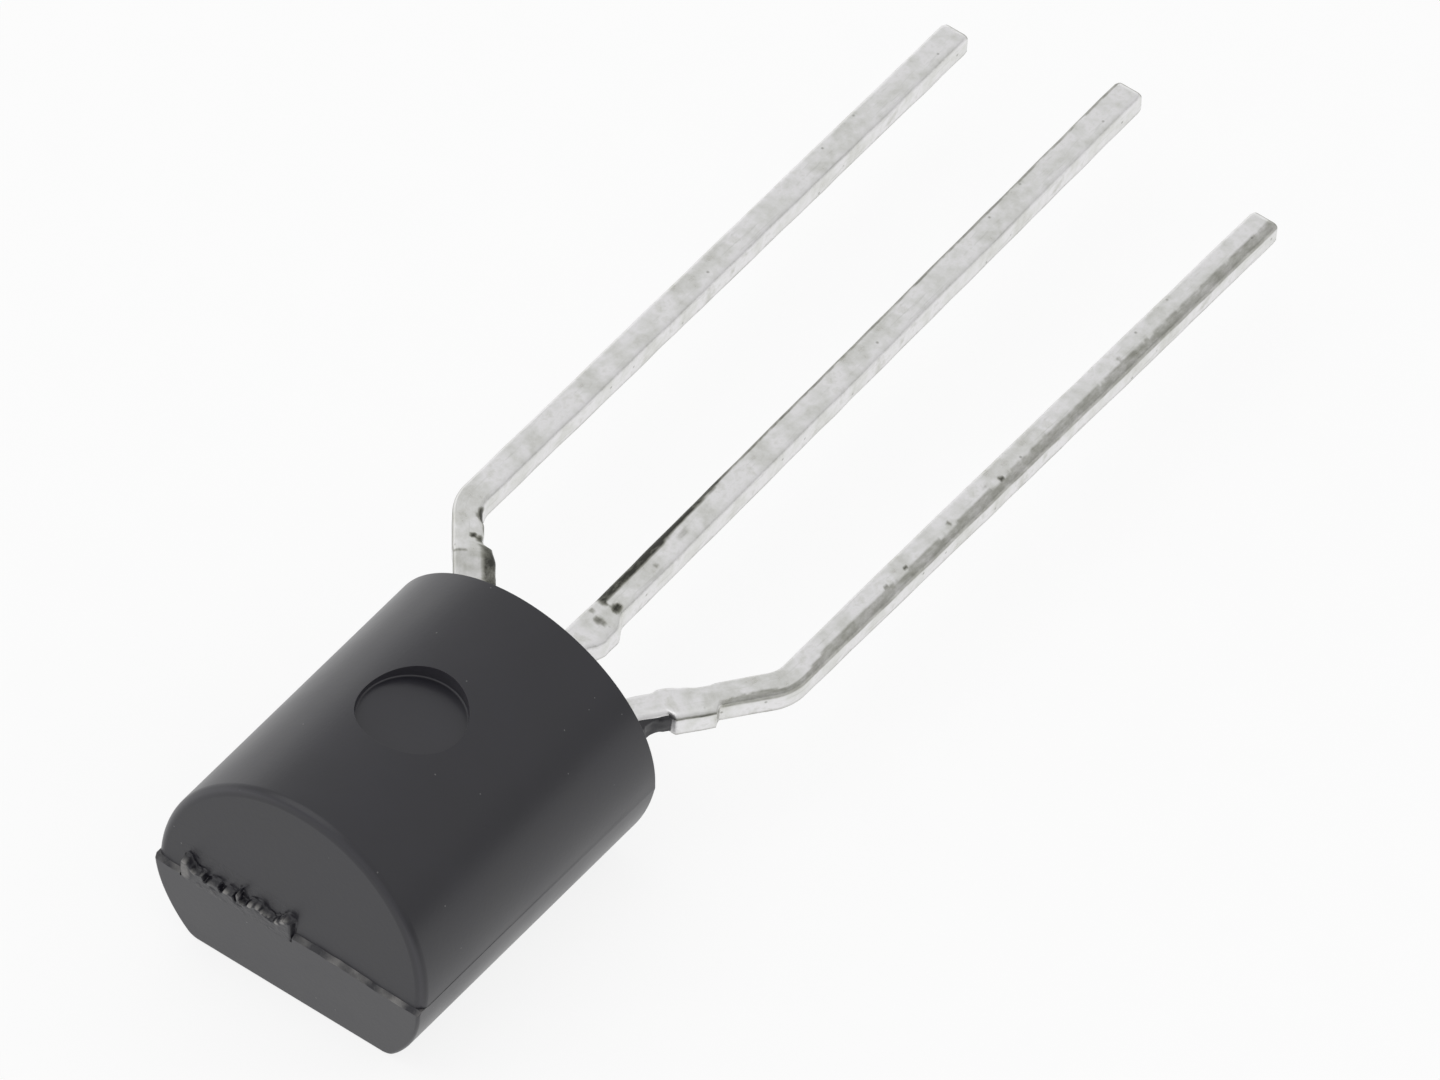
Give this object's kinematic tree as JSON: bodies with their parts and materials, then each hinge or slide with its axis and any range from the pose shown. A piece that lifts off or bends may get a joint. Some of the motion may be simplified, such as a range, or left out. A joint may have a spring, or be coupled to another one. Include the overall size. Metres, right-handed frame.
{
  "type": "thyristor",
  "caption": "Small thyristor in a moulded plastic case with a flat side and a round side, its tin-plated leads formed apart and lying parallel.",
  "frame": {"origin": "centre of the case's flat side, on its surface", "axes": "+X from the case towards the tips of the leads, +Y towards the cathode lead, +Z from the flat side to the round side"},
  "size_m": [0.0192, 0.0058, 0.0037],
  "materials": {
    "epoxy": "satin moulded epoxy",
    "tinned_lead": "dull satin tin plate",
    "silicon": "polished silicon",
    "solder": "dull solder",
    "gold_wire": "drawn gold wire"
  },
  "bodies": {
    "root": {"moulded_body": "epoxy", "cathode_lead": "tinned_lead", "gate_lead": "tinned_lead", "anode_lead": "tinned_lead", "thyristor_die": "silicon", "die_solder": "solder", "gate_bond_wire": "gold_wire", "cathode_bond_wire": "gold_wire"}
  },
  "joints": []
}
